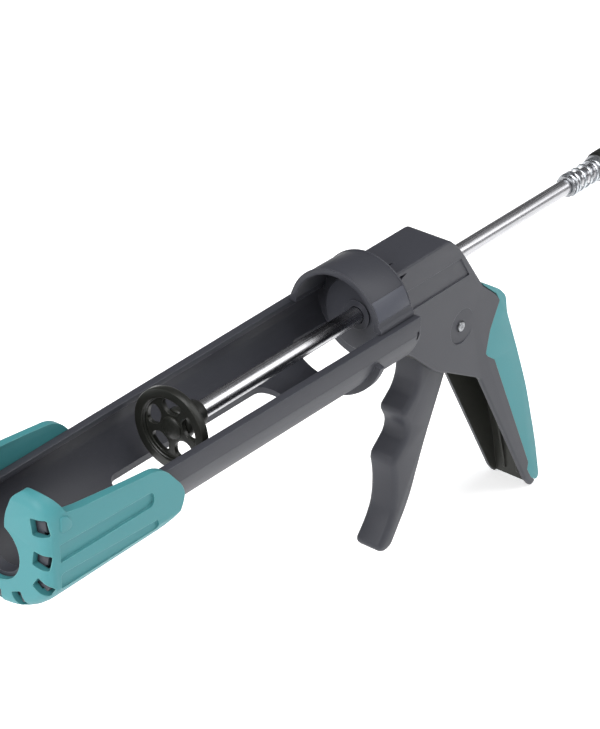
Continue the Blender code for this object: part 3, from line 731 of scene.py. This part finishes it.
# %% Plunger disc
rim = turned([(125.0, 20.8), (125.4, 21.6), (126.2, 22.0), (129.5, 22.0), (130.0, 21.7),
              (130.1, 21.2), (130.1, 17.3), (129.8, 17.0), (129.2, 16.9), (128.8, 16.4),
              (127.0, 16.0), (125.2, 16.2)], 96)
web = turned([(125.2, 4.9), (125.2, 17.0), (127.6, 17.0), (127.6, 4.9)], 72)
for number in range(5):
    window = slab([(-3.6, 7.4, 2.6), (3.6, 7.4, 2.6), (6.9, 13.6, 3.2), (0, 17.0, 4.6),
                   (-6.9, 13.6, 3.2)], 120, 135, "X")
    web = carve(web, moved(window, turn=72 * number))
soften(web, 0.4, 2, 60)
boss = turned([(126.9, 0), (126.9, 6.0), (128.0, 6.0), (128.6, 5.0), (129.0, 2.0), (129.0, 0)],
              48, on_axis=True)
disc = carve(carve(rim, web, "UNION"), boss, "UNION")
piece(moved(disc, ROD_DROP), "plunger_wheel", BLACK, "rod", "black_plastic", "plunger_disc")

# %% [markdown]
# A coil spring is a small circle swept round the rod while it also moves along, which Spin
# does when it is given a step along the axis. Changing that step part of the way gives the
# close end turns that a real spring has.

# %% Springs
def spring(start, radius, wire, sections, steps=20):
    """A coil from sections of (turns, pitch), begun at start."""
    bm = bmesh.new()
    bmesh.ops.create_circle(bm, segments=10, radius=wire / 2)
    bmesh.ops.rotate(bm, verts=bm.verts, cent=(0, 0, 0),
                     matrix=Matrix.Rotation(math.pi / 2, 3, "X"))
    bmesh.ops.translate(bm, verts=bm.verts, vec=(start, 0, radius))
    end = bm.verts[:] + bm.edges[:]
    for turns, pitch in sections:
        count = round(turns * steps)
        swept = bmesh.ops.spin(bm, geom=end, cent=(0, 0, 0), axis=(1, 0, 0),
                               dvec=(turns * pitch / count, 0, 0),
                               angle=math.tau * turns, steps=count)
        end = swept["geom_last"]
    bmesh.ops.holes_fill(bm, edges=[edge for edge in bm.edges if edge.is_boundary], sides=0)
    return bm


BUMPER_FRONT = -217.9
COIL_RADIUS = 7.0
DRIVE_WIRE, DRIVE_TURNS = 1.3, 7
BRAKE_WIRE, BRAKE_TURNS = 1.0, 2

bumper = spring(BUMPER_FRONT, 6.3, 1.4, [(1.2, 1.6), (1.0, 4.0), (3.0, 6.4), (1.0, 2.2)])
for vert in bumper.verts:
    vert.co.x = 2 * BUMPER_FRONT - vert.co.x
piece(moved(bumper, ROD_DROP), "bumper_coil", WIRE, "rod", "spring_steel", "bumper_spring")
low, high = span("drive_spring")
open_turns = DRIVE_TURNS - 2
drive = spring(low + DRIVE_WIRE / 2, COIL_RADIUS, DRIVE_WIRE,
               [(1, 1.5), (open_turns, (high - low - DRIVE_WIRE - 3.0) / open_turns), (1, 1.5)])
coil = piece(moved(drive, ROD_DROP), "drive_coil", WIRE, "root", "spring_steel", "drive_spring")
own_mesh(coil)
low, high = span("brake_spring")
brake = spring(low + BRAKE_WIRE / 2, COIL_RADIUS, BRAKE_WIRE,
               [(BRAKE_TURNS, (high - low - BRAKE_WIRE) / BRAKE_TURNS)])
coil = piece(moved(brake, ROD_DROP), "brake_coil", WIRE, "root", "spring_steel", "brake_spring")
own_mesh(coil)

# %% [markdown]
# The knob at the rod's back end is for pulling the rod out. Two shallow grooves give grip.

# %% Knob
knob = turned([(-248.9, 4.9), (-248.9, 7.3), (-249.6, 8.2), (-251.0, 8.9), (-253, 9.0),
               (-253.6, 8.5), (-254.4, 8.5), (-255.0, 9.0), (-257.0, 9.0), (-257.6, 8.5),
               (-258.4, 8.5), (-259.0, 9.0), (-263.6, 9.0), (-265.4, 8.4), (-266.4, 7.0),
               (-266.5, 0), (-262.3, 0), (-262.3, 4.9)], 64)
piece(moved(knob, ROD_DROP), "knob_ribbed", BLACK, "rod", "black_plastic", "end_knob")

# %% [markdown]
# The parts inside the housing and the small washers keep their engineering shape and only
# get a better finish.

# %% Kept parts
KEPT = {"drive_plate": ZINC, "release_lever": ZINC, "pin_retainer": ZINC, "spring_seat": ZINC,
        "stop_washer": ZINC, "front_bush": HOUSING, "rear_bush": BUSH}
for node, material in KEPT.items():
    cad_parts[node].material_slots[0].material = material
print("kept", sorted(KEPT))

# %% [markdown]
# A plain pale floor lies under the handle's tip and glows a little, so that it stays white.
# The strongest soft panel stands at the nose end. Weaker ones behind the gun, on its left and
# above it shape the sides, and the surround brightens towards the left, as on a product table.

# %% Floor, light and camera
bm = bmesh.new()
bmesh.ops.create_grid(bm, x_segments=1, y_segments=1, size=6)
bmesh.ops.translate(bm, verts=bm.verts, vec=(0, 0, cad_box[0][2] - 0.0005))
mesh = bpy.data.meshes.new("floor")
bm.to_mesh(mesh)
bm.free()
floor = bpy.data.objects.new("floor", mesh)
bpy.context.scene.collection.objects.link(floor)
pale = Paint("pale_floor")
pale.feed("Base Color", (0.95, 0.95, 0.95, 1))
pale.feed("Roughness", 0.9)
pale.feed("Emission Color", (1, 1, 1, 1))
pale.feed("Emission Strength", 0.5)
mesh.materials.append(pale.material)

LOOK_AT = Vector((0.16, 0, 0.02))


def panel_light(name, azimuth, elevation, distance, size, power):
    """A square soft light that faces the gun."""
    light = bpy.data.lights.new(name, "AREA")
    light.shape = "SQUARE"
    light.size = size
    light.energy = power
    lamp = bpy.data.objects.new(name, light)
    az, el = math.radians(azimuth), math.radians(elevation)
    away = Vector((math.sin(az) * math.cos(el), -math.cos(az) * math.cos(el), math.sin(el)))
    lamp.location = LOOK_AT + away * distance
    lamp.rotation_euler = away.to_track_quat("Z", "Y").to_euler()
    bpy.context.scene.collection.objects.link(lamp)


panel_light("key", 160, 24, 1.9, 1.5, 5.5)
panel_light("back_left", 226, 38, 1.9, 1.3, 13)
panel_light("front", 84, 30, 1.9, 1.1, 33)
panel_light("top", 200, 78, 1.8, 0.9, 17)

world = bpy.data.worlds.new("studio")
world.use_nodes = True
bpy.context.scene.world = world
sky = world.node_tree
facing = sky.nodes.new("ShaderNodeTexCoord")
split = sky.nodes.new("ShaderNodeSeparateXYZ")
sky.links.new(facing.outputs["Generated"], split.inputs[0])
ramp = sky.nodes.new("ShaderNodeValToRGB")
ramp.color_ramp.elements[0].position = 0.30
ramp.color_ramp.elements[0].color = (0.17, 0.17, 0.175, 1)
ramp.color_ramp.elements[1].position = 0.66
ramp.color_ramp.elements[1].color = (0.38, 0.38, 0.385, 1)
lean = sky.nodes.new("ShaderNodeMath")
lean.operation = "MULTIPLY_ADD"
lean.inputs[1].default_value = lean.inputs[2].default_value = 0.5
sky.links.new(split.outputs["Y"], lean.inputs[0])
sky.links.new(lean.outputs[0], ramp.inputs[0])
sky.links.new(ramp.outputs["Color"], sky.nodes["Background"].inputs["Color"])
sky.nodes["Background"].inputs["Strength"].default_value = 1.0
bpy.context.scene.view_settings.view_transform = "Standard"

AZIMUTH, ELEVATION, ROLL = map(math.radians, (128.090, 30.062, 0.818))
CAMERA_PLACE = (1.07162509, 0.70834448, 0.70216698)
level = Vector((math.cos(AZIMUTH), math.sin(AZIMUTH), 0))
away = Vector((math.sin(AZIMUTH) * math.cos(ELEVATION),
               -math.cos(AZIMUTH) * math.cos(ELEVATION), math.sin(ELEVATION)))
upward = away.cross(level)
right = level * math.cos(ROLL) + upward * math.sin(ROLL)
above = upward * math.cos(ROLL) - level * math.sin(ROLL)
camera = bpy.data.objects.new("camera", bpy.data.cameras.new("camera"))
camera.data.lens = 128.395
camera.data.sensor_width = 36
camera.data.clip_end = 20
turn = Matrix((right, above, away)).transposed().to_4x4()
camera.matrix_world = Matrix.Translation(CAMERA_PLACE) @ turn
bpy.context.scene.collection.objects.link(camera)
bpy.context.scene.camera = camera
print("camera", tuple(round(value, 3) for value in camera.location))
